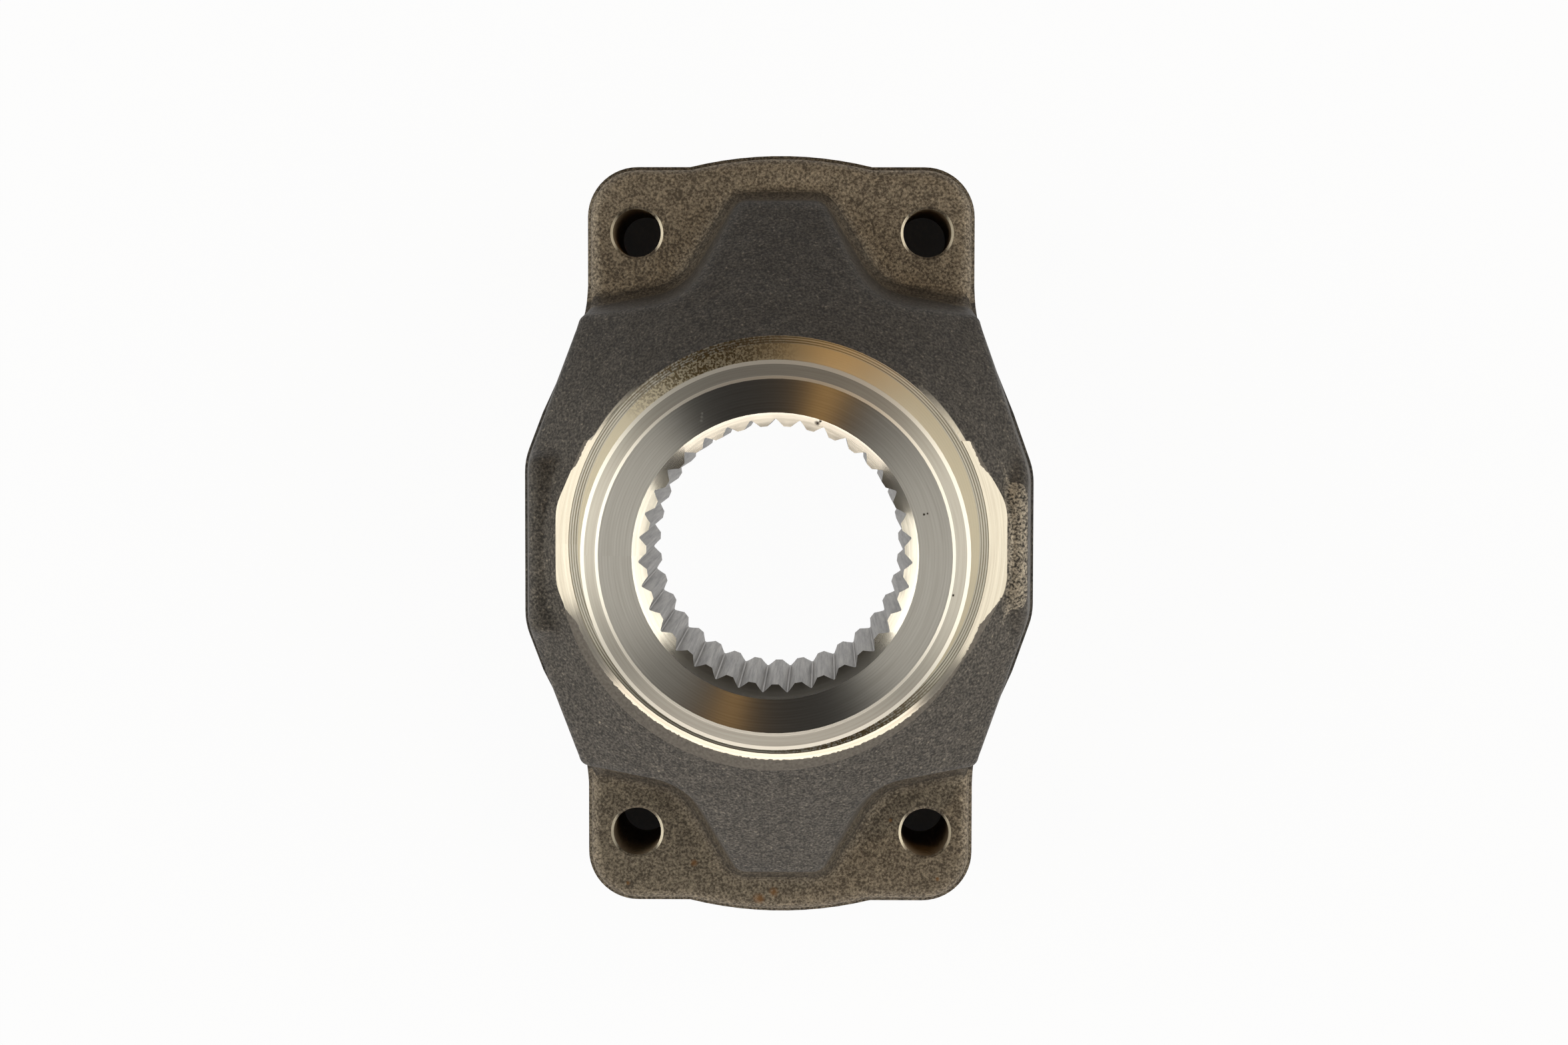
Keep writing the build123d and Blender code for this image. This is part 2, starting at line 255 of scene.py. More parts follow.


# painted highlight on the flat tops of the bosses on the right
def litBossTops(tree, at, f, sizes, crest):
    highUp = addNode(tree, "ShaderNodeMath",
                     {"operation": "GREATER_THAN", 1: sizes["bossHeight"] - f["bossHighlightBelow"]}, {0: at["z"]})
    onRight = addNode(tree, "ShaderNodeMapRange", {
        "From Min": sizes["bossFrom"], "From Max": sizes["bossFrom"] + f["bossHighlightRamp"],
    }, {0: at["x"]})
    boss = addNode(tree, "ShaderNodeMath", {"operation": "MULTIPLY"}, {0: highUp, 1: onRight})
    return addNode(tree, "ShaderNodeMath", {"operation": "MULTIPLY"}, {0: boss, 1: crest})


# painted shade in the folds, where the surface starts to leave the pads
def folds(tree, at, f, sizes):
    rising = addNode(tree, "ShaderNodeMapRange",
                     {"From Min": f["foldTilt"][0], "From Max": f["foldTilt"][1],
                      "To Min": 0.0, "To Max": f["foldShare"]}, {0: at["up"]})
    low = addNode(tree, "ShaderNodeMapRange", {
        "From Min": sizes["padHeight"] + f["foldStarts"], "From Max": sizes["padHeight"] + f["foldHeight"],
        "To Min": 1.0, "To Max": 0.0,
    }, {0: at["z"]})
    onTop = addNode(tree, "ShaderNodeMath",
                    {"operation": "GREATER_THAN", 1: sizes["padHeight"] + f["foldClear"]}, {0: at["z"]})
    fold = addNode(tree, "ShaderNodeMath", {"operation": "MULTIPLY"}, {0: rising, 1: low})
    return addNode(tree, "ShaderNodeMath", {"operation": "MULTIPLY"}, {0: fold, 1: onTop})


# sheared band along the parting line, only on the upright sides
def shearedFlash(tree, at, f, sizes, crest):
    parting = addNode(tree, "ShaderNodeMapRange", {
        "From Min": sizes["partingFallsFrom"], "From Max": sizes["partingFallsTo"],
        "To Min": sizes["partingAtCollar"], "To Max": sizes["partingAtEars"],
    }, {0: at["fromMiddle"]})
    above = addNode(tree, "ShaderNodeMath", {"operation": "SUBTRACT"}, {0: at["z"], 1: parting})
    near = addNode(tree, "ShaderNodeMath", {"operation": "COMPARE", 1: 0.0, 2: f["flashHalf"]}, {0: above})
    upright = addNode(tree, "ShaderNodeMath", {"operation": "COMPARE", 1: 0.0, 2: f["flashTilt"]},
                      {0: at["up"]})
    sheared = addNode(tree, "ShaderNodeMath", {"operation": "MULTIPLY"}, {0: near, 1: upright})
    return addNode(tree, "ShaderNodeMath", {"operation": "MULTIPLY"}, {0: sheared, 1: crest})


# countersunk mouths of the strap holes: where a painted highlight shows on them, and how deep they are in
# millimetres
def holeMouths(tree, at, f, sizes):
    rim = sizes["holeRadius"] + f["mouthWide"]
    sink = addNode(tree, "ShaderNodeMapRange", {
        "From Min": sizes["holeRadius"], "From Max": rim, "To Min": -f["mouthWide"], "To Max": 0.0,
    }, {0: at["fromHole"]})
    aside = addNode(tree, "ShaderNodeMath", {"operation": "SUBTRACT", 1: sizes["holeX"]},
                    {0: addNode(tree, "ShaderNodeSeparateXYZ", links={0: at["quarter"]})})
    farAside = addNode(tree, "ShaderNodeMapRange", {
        "From Min": sizes["holeRadius"] * f["mouthFrom"], "From Max": sizes["holeRadius"] * f["mouthFull"],
    }, {0: addNode(tree, "ShaderNodeMath", {"operation": "ABSOLUTE"}, {0: aside})})
    edge = addNode(tree, "ShaderNodeMath", {"operation": "LESS_THAN", 1: rim}, {0: at["fromHole"]})
    shine = addNode(tree, "ShaderNodeMath", {"operation": "MULTIPLY"}, {0: farAside, 1: edge})
    return shine, sink


# forged edges look rounder than they are cut, but not beside a hole or the turned hub
def softNormal(tree, at, f, sizes):
    hole = sizes["holeRadius"] + f["crispNear"]
    hub = sizes["turnedRadius"] + f["crispNear"]
    clearOfHole = addNode(tree, "ShaderNodeMapRange", {"From Min": hole, "From Max": hole + f["crispRamp"]},
                          {0: at["fromHole"]})
    clearOfHub = addNode(tree, "ShaderNodeMapRange", {"From Min": hub, "From Max": hub + f["crispRamp"]},
                         {0: at["fromAxis"]})
    soft = addNode(tree, "ShaderNodeMath", {"operation": "MULTIPLY"}, {0: clearOfHole, 1: clearOfHub})
    rounded = addNode(tree, "ShaderNodeBevel", {"samples": f["softSamples"], "Radius": f["softEdge"]})
    return addNode(tree, "ShaderNodeMix", {"data_type": "VECTOR"}, {0: soft, 4: at["normal"], 5: rounded})


def forgedSteel(f, sizes):
    material, tree = newMaterial("forged steel, shot blasted")
    at = surfacePlace(tree, sizes)

    # three scales of unevenness, from the shot marks up to the waves of the dies
    marks = addNode(tree, "ShaderNodeTexNoise",
                    {"Scale": 1 / f["shotMark"], "Detail": 2.0, "Roughness": 0.6}, {"Vector": at["place"]})
    specks = addNode(tree, "ShaderNodeTexNoise",
                     {"Scale": 1 / f["speckle"], "Detail": 4.0, "Roughness": 0.7}, {"Vector": at["place"]})
    waves = addNode(tree, "ShaderNodeTexNoise", {"Scale": 1 / f["wave"], "Detail": 1.0},
                    {"Vector": at["place"]})

    # colour from hollows to crests, one pair for the pads and one for the ribs
    both = addNode(tree, "ShaderNodeMix", {0: f["speckleShare"]}, {2: marks, 3: specks})
    crest = addNode(tree, "ShaderNodeMapRange", {"From Min": f["crestFrom"], "From Max": f["crestFull"]},
                    {0: both})
    pad = addNode(tree, "ShaderNodeMix",
                  {"data_type": "RGBA", 6: fromHex(f["padDark"]), 7: fromHex(f["padLight"])}, {0: crest})
    rib = addNode(tree, "ShaderNodeMix",
                  {"data_type": "RGBA", 6: fromHex(f["ribDark"]), 7: fromHex(f["ribLight"])}, {0: crest})
    onRib = addNode(tree, "ShaderNodeMapRange", {
        "From Min": sizes["padHeight"] + f["ribStarts"], "From Max": sizes["padHeight"] + f["ribFull"],
    }, {0: at["z"]})
    skin = addNode(tree, "ShaderNodeMix", {"data_type": "RGBA"},
                   {0: onRib, 6: pad.outputs[2], 7: rib.outputs[2]})

    # what lies over it, each as a mask and its colour, from the bottom up
    # painted glints: the crests lighter, standing in for sparkle off them
    glints = addNode(tree, "ShaderNodeMapRange", {"From Min": f["glintFrom"], "From Max": f["glintFull"]},
                     {0: both})
    # painted shade: the ribs grow darker towards the back
    towardsBack = addNode(tree, "ShaderNodeMapRange", {
        "From Min": f["backShadeFrom"], "From Max": f["backShadeFull"], "To Max": f["backShadeShare"],
    }, {0: at["y"]})
    shadedBack = addNode(tree, "ShaderNodeMath", {"operation": "MULTIPLY"}, {0: towardsBack, 1: onRib})
    layers = [
        (glints, f["glint"]),
        (shadedBack, f["backShade"]),
        (turnedRunOut(tree, at, f, sizes), f["cutMetalHighlight"]),
        (litBossTops(tree, at, f, sizes, crest), f["bossHighlight"]),
        (folds(tree, at, f, sizes), f["fold"]),
        (shearedFlash(tree, at, f, sizes, crest), f["flashColour"]),
    ]
    for x, y, radius in f["rustSpots"]:
        rust = spot(tree, at["place"], specks, (x, y, sizes["padHeight"]), radius)
        thin = addNode(tree, "ShaderNodeMath", {"operation": "MULTIPLY", 1: f["rustShare"]}, {0: rust})
        layers.append((thin, f["rustColour"]))
    dentRim = spot(tree, at["place"], specks, f["dentAt"], f["dentRadius"] * f["dentRimWide"])
    dent = spot(tree, at["place"], specks, f["dentAt"], f["dentRadius"])
    mouthHighlights, sink = holeMouths(tree, at, f, sizes)
    layers += [(dentRim, f["dentRim"]), (dent, f["dentColour"]), (mouthHighlights, f["mouthHighlight"])]
    for mask, colour in layers:
        skin = addNode(tree, "ShaderNodeMix", {"data_type": "RGBA", 7: fromHex(colour)},
                       {0: mask, 6: skin.outputs[2]})

    # heights in millimetres, added up
    height = sink
    for depth, shape in [(f["shotDepth"], marks), (f["speckleDepth"], specks),
                         (f["waveDepth"], waves), (-f["dentDepth"], dent)]:
        height = addNode(tree, "ShaderNodeMath", {"operation": "MULTIPLY_ADD", 1: depth},
                         {0: shape, 2: height})
    bump = addNode(tree, "ShaderNodeBump", {"Strength": 1.0, "Distance": 0.001},
                   {"Height": height, "Normal": softNormal(tree, at, f, sizes).outputs[1]})
    dull = addNode(tree, "ShaderNodeMapRange", {
        "To Min": f["roughness"] + f["hollowRoughness"], "To Max": f["roughness"] + f["crestRoughness"],
    }, {0: crest})
    shader = addNode(tree, "ShaderNodeBsdfPrincipled", {"Metallic": f["metallic"]},
                     {"Base Color": skin.outputs[2], "Roughness": dull, "Normal": bump})
    addNode(tree, "ShaderNodeOutputMaterial", links={"Surface": shader})
    return material


# Turned steel: bright bare metal, cut by a tool that leaves fine rings round the hub.
# The rings smear every reflection across themselves, so light and dark lie in wedges.
# Lengths are in millimetres. lines is the share of the tool lines in the tone, beside soft arcs.
turning = dict(
    face=dict(
        name="turned steel, fine feed", light="#d2cfca", dark="#bfbbb5", roughness=0.4, anisotropy=0.92,
        feed=0.6, depth=0.0004, lines=0.3,  # the real feed is 0.15, too fine to show
        marks=[  # x, y, radius, colour
            (-15.5, 28.4, 0.27, "#fffdf6"), (-15.4, 29.2, 0.27, "#fffdf6"), (-15.3, 30.0, 0.24, "#fffdf6"),
            (31.2, 8.9, 0.24, "#3a342e"), (31.9, 9.1, 0.18, "#3a342e"),
        ],
    ),
    lead=dict(
        name="turned steel, chamfered", light="#aeaaa1", dark="#a29d94", roughness=0.5, anisotropy=0.4,
        feed=0.9, depth=0.0004, lines=0.2,  # coarser than real, as on the face
        marks=[(37.4, -8.1, 0.24, "#1d1612")],
        highlightBands=[(37.6, 0.35, "#e2ddd3"), (40.85, 0.45, "#e4dfd4")],  # middle, half width; painted highlights on the rims
    ),
    journal=dict(
        name="turned steel, ground smooth", light="#c9c4ba", dark="#bab4a9", roughness=0.25, anisotropy=0.4,
        feed=0.9, depth=0.0004, lines=0.2,  # coarser than real grinding lines, which would not show
    ),
    shoulder=dict(
        name="turned steel, coarse feed", light="#fffcf4", dark="#958a6e", roughness=0.5, anisotropy=0.85,
        feed=0.55, depth=0.01, lines=0.75, strongBeyond=45.2,  # the real feed is 0.4
        highlightBands=[(43.4, 1.8, "#fff6df")],  # smoother near the hub, painted bright there as its reflection
        chatterAt=112, chatterColour="#94815f", chatterGrain=0.5,  # degrees round the hub
    ),
    cone=dict(
        name="turned steel, coned", light="#bdb6a8", dark="#aaa294", roughness=0.24, anisotropy=0.4,
        feed=1.15, depth=0.002, lines=0.2,  # coarser than real
        skinBeyond=48.8, skinOnFlats=52.8,  # radius where the cut runs out, and where it does on the flats
        flatEnds=(10.0, 18.0),  # from the middle, where the second goes over into the first
        skinDark="#3a3632", skinLight="#8a837a", skinRoughness=0.6, skinMetallic=0.3,
    ),
    mouth=dict(
        name="turned steel, bore chamfer", light="#e6e0d4", dark="#d4cdc0", roughness=0.22, anisotropy=0.4,
        feed=0.9, depth=0.0006, lines=0.2,  # coarser than real
        marks=[(8.8, 28.0, 0.42, "#2a221c"), (9.4, 28.4, 0.24, "#2a221c")],
    ),
    recess=dict(
        name="bored steel", light="#b4aea3", dark="#8e887e", roughness=0.35, anisotropy=0.6,
        feed=1.2, depth=0.01, lines=0.4,
    ),
)

# How the rings vary, the same on every turned surface
rings = dict(
    arcsPerFeed=1.6,  # soft arcs across the rings
    arcsPerRadian=1.5,  # and round the hub
    weak=0.25,  # strength of the tool lines inside strongBeyond
    ramp=0.4,  # mm to each side of it, where they grow
    lineFrom=-0.9,  # heights of a line, from -1 to 1, that go from dark to light
    lineTo=0.1,
    arcFrom=0.35,  # the same for the arcs, from 0 to 1
    arcTo=0.65,
    grain=0.7,  # mm, scale of the ragged edges
    chatterFrom=0.88,  # cosine of the angle to the chatter's middle
    patchFrom=0.44,  # heights of the grain, from 0 to 1, where the chatter shows
    patchTo=0.56,
    highlightTurn=0.25,  # a quarter turn, so that highlights lie across the rings
)


def turnedSteel(t, r, upright=False):
    material, tree = newMaterial(t["name"])
    place = placeInMillimetres(tree)
    axes = addNode(tree, "ShaderNodeSeparateXYZ", links={0: place})
    flat = addNode(tree, "ShaderNodeVectorMath", {"operation": "MULTIPLY", 1: (1, 1, 0)}, {0: place})
    radius = addNode(tree, "ShaderNodeVectorMath", {"operation": "LENGTH"}, {0: flat}).outputs["Value"]
    turn = addNode(tree, "ShaderNodeMath", {"operation": "ARCTAN2"},
                   {0: axes.outputs["Y"], 1: axes.outputs["X"]})
    along = axes.outputs["Z"] if upright else radius

    # soft arcs round the hub, and even tool lines
    step = addNode(tree, "ShaderNodeMath", {"operation": "MULTIPLY", 1: r["arcsPerFeed"] / t["feed"]},
                   {0: along})
    swing = addNode(tree, "ShaderNodeMath", {"operation": "MULTIPLY", 1: r["arcsPerRadian"]}, {0: turn})
    arcs = addNode(tree, "ShaderNodeTexNoise", {"Scale": 1.0, "Detail": 3.0, "Roughness": 0.7},
                   {"Vector": addNode(tree, "ShaderNodeCombineXYZ", links={"X": step, "Y": swing})})
    phase = addNode(tree, "ShaderNodeMath", {"operation": "MULTIPLY", 1: 2 * math.pi / t["feed"]},
                    {0: along})
    wave = addNode(tree, "ShaderNodeMath", {"operation": "SINE"}, {0: phase})
    strongFrom = t.get("strongBeyond", 0)
    strength = addNode(tree, "ShaderNodeMapRange", {
        "From Min": strongFrom - r["ramp"], "From Max": strongFrom + r["ramp"],
        "To Min": r["weak"], "To Max": 1.0,
    }, {0: radius})
    ridge = addNode(tree, "ShaderNodeMath", {"operation": "MULTIPLY"}, {0: wave, 1: strength})
    lines = addNode(tree, "ShaderNodeMapRange", {"From Min": r["lineFrom"], "From Max": r["lineTo"]},
                    {0: ridge})
    cloudy = addNode(tree, "ShaderNodeMapRange", {"From Min": r["arcFrom"], "From Max": r["arcTo"]},
                     {0: arcs})
    tone = addNode(tree, "ShaderNodeMix", {0: t["lines"]}, {2: cloudy, 3: lines})
    metal = addNode(tree, "ShaderNodeMix",
                    {"data_type": "RGBA", 6: fromHex(t["dark"]), 7: fromHex(t["light"])}, {0: tone})
    grain = addNode(tree, "ShaderNodeTexNoise",
                    {"Scale": 1 / t.get("chatterGrain", r["grain"]), "Detail": 3.0}, {"Vector": place})

    # what lies over it, each as a mask and its colour: rims with painted highlights, chatter in two opposite
    # sectors, small marks
    layers = []
    for middle, half, colour in t.get("highlightBands", []):
        rim = addNode(tree, "ShaderNodeMath", {"operation": "COMPARE", 1: middle, 2: half}, {0: radius})
        layers.append((rim, colour))
    if "chatterAt" in t:
        turned = math.radians(t["chatterAt"])
        heading = addNode(tree, "ShaderNodeVectorMath", {"operation": "NORMALIZE"}, {0: flat})
        towards = addNode(tree, "ShaderNodeVectorMath",
                          {"operation": "DOT_PRODUCT", 1: (math.cos(turned), math.sin(turned), 0)},
                          {0: heading}).outputs["Value"]
        eitherWay = addNode(tree, "ShaderNodeMath", {"operation": "ABSOLUTE"}, {0: towards})
        sector = addNode(tree, "ShaderNodeMapRange", {"From Min": r["chatterFrom"], "From Max": 1.0},
                         {0: eitherWay})
        patches = addNode(tree, "ShaderNodeMapRange", {"From Min": r["patchFrom"], "From Max": r["patchTo"]},
                          {0: grain})
        skipped = addNode(tree, "ShaderNodeMath", {"operation": "MULTIPLY"}, {0: sector, 1: patches})
        layers.append((skipped, t["chatterColour"]))
    for x, y, size, colour in t.get("marks", []):
        layers.append((spot(tree, flat, grain, (x, y, 0), size), colour))
    for mask, colour in layers:
        metal = addNode(tree, "ShaderNodeMix", {"data_type": "RGBA", 7: fromHex(colour)},
                        {0: mask, 6: metal.outputs[2]})

    # ragged edge where the cut runs out into the forging
    settings = {"Metallic": 1.0, "Roughness": t["roughness"],
                "Anisotropic": t["anisotropy"], "Anisotropic Rotation": r["highlightTurn"]}
    links = {}
    if "skinBeyond" in t:
        ragged = addNode(tree, "ShaderNodeMath", {"operation": "ADD"}, {0: radius, 1: grain})
        fromMiddle = addNode(tree, "ShaderNodeMath", {"operation": "ABSOLUTE"}, {0: axes.outputs["Y"]})
        meanGrain = 0.5  # what the noise adds to the radius on average
        limit = addNode(tree, "ShaderNodeMapRange", {
            "From Min": t["flatEnds"][0], "From Max": t["flatEnds"][1],
            "To Min": t["skinOnFlats"] + meanGrain, "To Max": t["skinBeyond"] + meanGrain,
        }, {0: fromMiddle})
        skin = addNode(tree, "ShaderNodeMath", {"operation": "GREATER_THAN"}, {0: ragged, 1: limit})
        forged = addNode(tree, "ShaderNodeMix", {
            "data_type": "RGBA", 6: fromHex(t["skinDark"]), 7: fromHex(t["skinLight"]),
        }, {0: grain})
        metal = addNode(tree, "ShaderNodeMix", {"data_type": "RGBA"},
                        {0: skin, 6: metal.outputs[2], 7: forged.outputs[2]})
        links["Metallic"] = addNode(tree, "ShaderNodeMapRange",
                                    {"To Min": 1.0, "To Max": t["skinMetallic"]}, {0: skin})
        links["Roughness"] = addNode(tree, "ShaderNodeMapRange",
                                     {"To Min": t["roughness"], "To Max": t["skinRoughness"]}, {0: skin})

    uneven = addNode(tree, "ShaderNodeMath", {"operation": "ADD"}, {0: ridge, 1: arcs})
    bump = addNode(tree, "ShaderNodeBump", {"Strength": 1.0, "Distance": t["depth"] / 1000},
                   {"Height": uneven})
    ringwise = addNode(tree, "ShaderNodeTangent", {"direction_type": "RADIAL", "axis": "Z"})
    links.update({"Base Color": metal.outputs[2], "Normal": bump, "Tangent": ringwise})
    shader = addNode(tree, "ShaderNodeBsdfPrincipled", settings, links)
    addNode(tree, "ShaderNodeOutputMaterial", links={"Surface": shader})
    return material


# Broached steel: a toothed bar pulled through the bore, so fine scratches run along it
broaching = dict(
    light="#8f8a83",
    dark="#504b45",
    roughness=0.42,
    scratch=0.7,  # mm, width; the real ones are finer and would not show
    lengthwise=0.03,  # bends of a scratch in each mm along the bore
    tone=(0.35, 0.65),  # heights of the scratches, from 0 to 1, that go from dark to light
    depth=0.02,  # mm
)


def broachedSteel(b, sizes):
    material, tree = newMaterial("broached steel")
    axes = addNode(tree, "ShaderNodeSeparateXYZ", links={0: placeInMillimetres(tree)})
    turn = addNode(tree, "ShaderNodeMath", {"operation": "ARCTAN2"},
                   {0: axes.outputs["Y"], 1: axes.outputs["X"]})
    across = addNode(tree, "ShaderNodeMath",
                     {"operation": "MULTIPLY", 1: sizes["boreRadius"] / b["scratch"]}, {0: turn})
    length = addNode(tree, "ShaderNodeMath", {"operation": "MULTIPLY", 1: b["lengthwise"]},
                     {0: axes.outputs["Z"]})
    scratches = addNode(tree, "ShaderNodeTexNoise", {"Scale": 1.0, "Detail": 4.0, "Roughness": 0.7},
                        {"Vector": addNode(tree, "ShaderNodeCombineXYZ", links={"X": across, "Y": length})})
    tone = addNode(tree, "ShaderNodeMapRange", {"From Min": b["tone"][0], "From Max": b["tone"][1]},
                   {0: scratches})
    metal = addNode(tree, "ShaderNodeMix",
                    {"data_type": "RGBA", 6: fromHex(b["dark"]), 7: fromHex(b["light"])}, {0: tone})
    bump = addNode(tree, "ShaderNodeBump", {"Strength": 1.0, "Distance": b["depth"] / 1000},
                   {"Height": scratches})
    shader = addNode(tree, "ShaderNodeBsdfPrincipled", {"Metallic": 1.0, "Roughness": b["roughness"]},
                     {"Base Color": metal.outputs[2], "Normal": bump})
    addNode(tree, "ShaderNodeOutputMaterial", links={"Surface": shader})
    return material


# Tapped steel: a thread cut down each strap hole, dull with oil
tapping = dict(
    colour="#a08e76",
    roughness=0.5,
    metallic=0.3,
    depth=0.5,  # mm, from crest to root of the thread
)


def tappedSteel(h, sizes):
    material, tree = newMaterial("tapped steel")
    quarter = addNode(tree, "ShaderNodeVectorMath", {"operation": "ABSOLUTE"}, {0: placeInMillimetres(tree)})
    local = addNode(tree, "ShaderNodeVectorMath",
                    {"operation": "SUBTRACT", 1: (sizes["holeX"], sizes["holeY"], 0)}, {0: quarter})
    axes = addNode(tree, "ShaderNodeSeparateXYZ", links={0: local})
    turn = addNode(tree, "ShaderNodeMath", {"operation": "ARCTAN2"},
                   {0: axes.outputs["Y"], 1: axes.outputs["X"]})
    rise = addNode(tree, "ShaderNodeMath", {"operation": "MULTIPLY", 1: 2 * math.pi / sizes["threadPitch"]},
                   {0: axes.outputs["Z"]})
    helix = addNode(tree, "ShaderNodeMath", {"operation": "ADD"}, {0: rise, 1: turn})
    thread = addNode(tree, "ShaderNodeMath", {"operation": "SINE"}, {0: helix})
    bump = addNode(tree, "ShaderNodeBump", {"Strength": 1.0, "Distance": h["depth"] / 2000},
                   {"Height": thread})
    shader = addNode(tree, "ShaderNodeBsdfPrincipled", {
        "Base Color": fromHex(h["colour"]), "Metallic": h["metallic"], "Roughness": h["roughness"],
    }, {"Normal": bump})
    addNode(tree, "ShaderNodeOutputMaterial", links={"Surface": shader})
    return material


# Bored and milled steel: the seats of the bearing caps and the ear ends, with straight cutter lines
cutting = dict(
    tone=(0.3, 0.7),  # heights of the lines, from 0 to 1, that go from dark to light
    seat=dict(name="bored steel, cap seats", light="#bdb7ab", dark="#918b80", roughness=0.32,
              feed=1.2, depth=0.01),  # mm; coarser than real, too fine to show otherwise
    end=dict(name="milled steel, ear ends", light="#b7b1a5", dark="#938d82", roughness=0.36,
             feed=1.6, depth=0.008),  # mm; coarser than real
)


def cutSteel(c, tones, axis):
    material, tree = newMaterial(c["name"])
    along = addNode(tree, "ShaderNodeSeparateXYZ", links={0: placeInMillimetres(tree)}).outputs[axis]
    lines = addNode(tree, "ShaderNodeTexNoise",
                    {"noise_dimensions": "1D", "Scale": 1 / c["feed"], "Detail": 3.0, "Roughness": 0.7},
                    {"W": along})
    tone = addNode(tree, "ShaderNodeMapRange", {"From Min": tones[0], "From Max": tones[1]}, {0: lines})
    metal = addNode(tree, "ShaderNodeMix",
                    {"data_type": "RGBA", 6: fromHex(c["dark"]), 7: fromHex(c["light"])}, {0: tone})
    phase = addNode(tree, "ShaderNodeMath", {"operation": "MULTIPLY", 1: 2 * math.pi / c["feed"]},
                    {0: along})
    ridge = addNode(tree, "ShaderNodeMath", {"operation": "SINE"}, {0: phase})
    bump = addNode(tree, "ShaderNodeBump", {"Strength": 1.0, "Distance": c["depth"] / 1000},
                   {"Height": ridge})
    shader = addNode(tree, "ShaderNodeBsdfPrincipled", {"Metallic": 1.0, "Roughness": c["roughness"]},
                     {"Base Color": metal.outputs[2], "Normal": bump})
    addNode(tree, "ShaderNodeOutputMaterial", links={"Surface": shader})
    return material


materials = dict(
    forged=forgedSteel(forging, yokeSizes),
    face=turnedSteel(turning["face"], rings),
    lead=turnedSteel(turning["lead"], rings),
    journal=turnedSteel(turning["journal"], rings, upright=True),
    shoulder=turnedSteel(turning["shoulder"], rings),
    cone=turnedSteel(turning["cone"], rings),
    mouth=turnedSteel(turning["mouth"], rings),
    recess=turnedSteel(turning["recess"], rings, upright=True),
    teeth=broachedSteel(broaching, yokeSizes),
    hole=tappedSteel(tapping, yokeSizes),
    seat=cutSteel(cutting["seat"], cutting["tone"], "Y"),
    end=cutSteel(cutting["end"], cutting["tone"], "X"),
)
print("finishes made:", len(materials))


# How far a surface has to face the way its finish asks for, where 1 is straight that way
facing = dict(
    face=0.97, lead=0.4, shoulder=0.95, cone=0.6, mouth=0.25, recessWall=0.98, recessRoof=0.3,
    end=0.9, hole=0.3,
    notUp=0.8,  # most that the journal may face up or down
    notAlong=0.8,  # most that a cap seat may face to the front or back
)

# How far the middle of a triangle may lie off its surface, in millimetres
slack = dict(face=0.4, journal=0.1, shoulder=0.05, cone=0.12, seat=0.001, end=0.02, hole=0.65)


# Each triangle of the yoke gets the finish of the surface that it lies on
def finishYoke(mesh, sizes, facing, slack):
    count = len(mesh.polygons)
    centres = np.zeros(count * 3)
    normals = np.zeros(count * 3)
    mesh.polygons.foreach_get("center", centres)
    mesh.polygons.foreach_get("normal", normals)
    x, y, z = centres.reshape(-1, 3).T * 1000
    normalX, normalY, normalZ = normals.reshape(-1, 3).T
    radius = np.hypot(x, y)
    outward = (x * normalX + y * normalY) / np.maximum(radius, 1e-6)
    sideways = np.hypot(normalX, normalY)
    fromHole = np.hypot(np.abs(x) - sizes["holeX"], np.abs(y) - sizes["holeY"])
    fromCapAxis = np.hypot(x, z)
    top = sizes["faceHeight"]
    shoulder = sizes["shoulderHeight"]
    fall = math.tan(math.radians(sizes["coneAngle"]))
    coneHeight = shoulder - (radius - sizes["shoulderRadius"]) * fall
    inBore = radius < sizes["boreEdge"]
    where = dict(
        face=(normalZ > facing["face"]) & (z > top - slack["face"]),
        lead=(normalZ > facing["lead"]) & (z > top - sizes["leadDepth"]) & (radius > sizes["leadRadius"]),
        journal=(radius > sizes["journalInside"]) & (radius < sizes["hubRadius"] + slack["journal"])
        & (z > shoulder - slack["journal"]) & (z < top - sizes["journalDepth"])
        & (np.abs(normalZ) < facing["notUp"]),
        shoulder=(normalZ > facing["shoulder"]) & (np.abs(z - shoulder) < slack["shoulder"]),
        cone=(radius > sizes["coneFrom"]) & (radius < sizes["coneTo"]) & (outward > facing["cone"])
        & (np.abs(z - coneHeight) < slack["cone"]),
        mouth=inBore & (z > top - sizes["mouthDepth"]) & (normalZ > facing["mouth"]),
        teeth=inBore & (z > sizes["teethFrom"]),
        recess=(radius < sizes["recessRadius"]) & (z > sizes["recessFrom"]) & (z < sizes["recessTo"])
        & ((outward < -facing["recessWall"]) | (normalZ < -facing["recessRoof"])),
        seat=(np.abs(y) > sizes["seatsFrom"]) & (fromCapAxis < sizes["seatReach"]) & (z > slack["seat"])
        & (np.abs(normalY) < facing["notAlong"]),
        end=(z < slack["end"]) & (normalZ < -facing["end"]),
        hole=(fromHole < sizes["holeRadius"] + slack["hole"]) & (sideways > facing["hole"]),
    )
    names = list(materials)
    index = np.zeros(count, dtype=np.int32)
    for name, chosen in where.items():
        index[chosen & (index == 0)] = names.index(name)
    mesh.materials.clear()
    for name in names:
        mesh.materials.append(materials[name])
    mesh.polygons.foreach_set("material_index", index)
    for number, name in enumerate(names):
        print("  ", name, int((index == number).sum()), "triangles")


finishYoke(yoke.data, yokeSizes, facing, slack)
print("finishes laid on")

# White table. It shows white to the camera and in the metal, but not down in the strap
# holes, whose lower ends it closes, so that they are dark as in the photograph.
table = dict(
    half=3.0,  # metres
    paper="#e8e8e8",
    glow=0.95,  # share of its own white, the rest is lit and takes the shadow
    inHoles=0.004,  # what is left of it at the bottom of the strap holes
    holeRim=1.0,  # mm round each hole that stay dark too
)


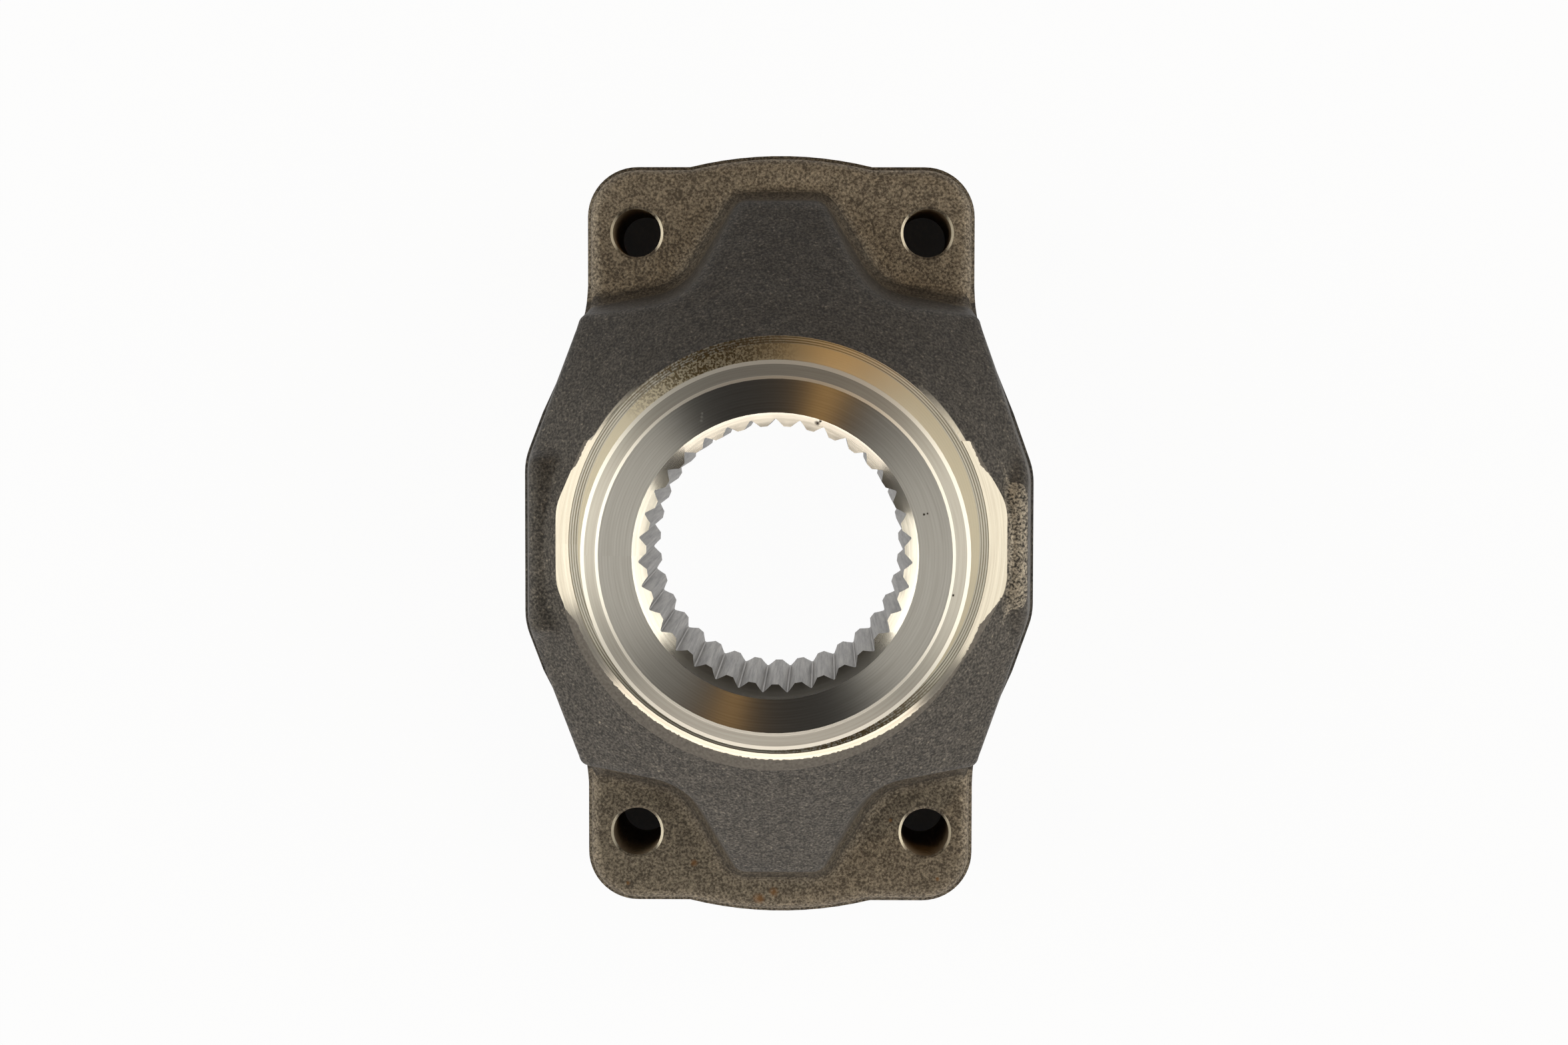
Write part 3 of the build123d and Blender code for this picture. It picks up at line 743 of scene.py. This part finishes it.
def layTable(t, sizes):
    mesh = bpy.data.meshes.new("table")
    half = t["half"]
    corners = [(-half, -half, 0), (half, -half, 0), (half, half, 0), (-half, half, 0)]
    mesh.from_pydata(corners, [], [(0, 1, 2, 3)])
    floor = bpy.data.objects.new("table", mesh)
    bpy.context.scene.collection.objects.link(floor)
    material, tree = newMaterial("white paper, matt")
    quarter = addNode(tree, "ShaderNodeVectorMath", {"operation": "ABSOLUTE"}, {0: placeInMillimetres(tree)})
    fromHole = addNode(tree, "ShaderNodeVectorMath",
                       {"operation": "DISTANCE", 1: (sizes["holeX"], sizes["holeY"], 0)},
                       {0: quarter}).outputs["Value"]
    outside = addNode(tree, "ShaderNodeMath",
                      {"operation": "GREATER_THAN", 1: sizes["holeRadius"] + t["holeRim"]}, {0: fromHole})
    ray = addNode(tree, "ShaderNodeLightPath")
    seen = addNode(tree, "ShaderNodeMath", {"operation": "MAXIMUM"},
                   {0: ray.outputs["Is Camera Ray"], 1: ray.outputs["Is Glossy Ray"]})
    share = addNode(tree, "ShaderNodeMath", {"operation": "MULTIPLY", 1: t["glow"]}, {0: seen})
    faint = addNode(tree, "ShaderNodeMath", {"operation": "MAXIMUM", 1: t["inHoles"]}, {0: outside})
    mix = addNode(tree, "ShaderNodeMath", {"operation": "MULTIPLY"}, {0: share, 1: faint})
    paper = addNode(tree, "ShaderNodeBsdfDiffuse", {"Color": fromHex(t["paper"])})
    white = addNode(tree, "ShaderNodeEmission", {"Color": (1, 1, 1, 1), "Strength": 1.0})
    both = addNode(tree, "ShaderNodeMixShader", links={0: mix, 1: paper, 2: white})
    addNode(tree, "ShaderNodeOutputMaterial", links={"Surface": both})
    mesh.materials.append(material)


layTable(table, yokeSizes)
print("table laid")

# Two tall soft boxes at the sides, a low one in front and nothing behind or above, so that
# the machined rings go from white at the sides to black at the back, and a warm room lamp.
lights = dict(
    right=dict(azimuth=0, elevation=29, distance=1.1, size=(1.6, 1.1), power=12.0, colour="#fffcf2"),
    left=dict(azimuth=175, elevation=29, distance=1.1, size=(1.1, 1.1), power=10.0, colour="#fffcf2"),
    front=dict(azimuth=265, elevation=8, distance=1.2, size=(2.2, 0.3), power=7.5, colour="#fff8ee"),
    lamp=dict(azimuth=64, elevation=55, distance=1.5, size=(0.14, 0.14), power=1.6, colour="#ffc46a"),
)
aimAt = Vector((0, 0, 0.06))


def placeLights(choices):
    for name, choice in choices.items():
        data = bpy.data.lights.new(name, "AREA")
        data.shape = "RECTANGLE"
        data.size, data.size_y = choice["size"]
        data.energy = choice["power"]
        data.color = fromHex(choice["colour"])[:3]
        light = bpy.data.objects.new(name, data)
        bpy.context.scene.collection.objects.link(light)
        turn = math.radians(choice["azimuth"])
        rise = math.radians(choice["elevation"])
        away = Vector((math.cos(turn) * math.cos(rise), math.sin(turn) * math.cos(rise), math.sin(rise)))
        light.location = away * choice["distance"] + aimAt
        light.rotation_euler = away.to_track_quat("Z", "Y").to_euler()


placeLights(lights)

# Dim room, white where the camera looks past the table and low down in the metal
room = dict(dim=0.02, horizon=0.06)


def lightRoom(r):
    world = bpy.data.worlds.new("studio")
    bpy.context.scene.world = world
    world.use_nodes = True
    tree = world.node_tree
    tree.nodes.clear()
    direction = addNode(tree, "ShaderNodeTexCoord")
    height = addNode(tree, "ShaderNodeSeparateXYZ", links={0: direction.outputs["Generated"]})
    low = addNode(tree, "ShaderNodeMapRange",
                  {"From Min": 0.0, "From Max": r["horizon"], "To Min": 1.0, "To Max": 0.0},
                  {0: height.outputs["Z"]})
    ray = addNode(tree, "ShaderNodeLightPath")
    mirrored = addNode(tree, "ShaderNodeMath", {"operation": "MULTIPLY"},
                       {0: low, 1: ray.outputs["Is Glossy Ray"]})
    seen = addNode(tree, "ShaderNodeMath", {"operation": "MAXIMUM"},
                   {0: mirrored, 1: ray.outputs["Is Camera Ray"]})
    dim = addNode(tree, "ShaderNodeBackground", {"Color": (1, 1, 1, 1), "Strength": r["dim"]})
    white = addNode(tree, "ShaderNodeBackground", {"Color": (1, 1, 1, 1), "Strength": 1.0})
    both = addNode(tree, "ShaderNodeMixShader", links={0: seen, 1: dim, 2: white})
    addNode(tree, "ShaderNodeOutputWorld", links={"Surface": both})


lightRoom(room)
bpy.context.scene.view_settings.view_transform = "Standard"
print("lights placed")
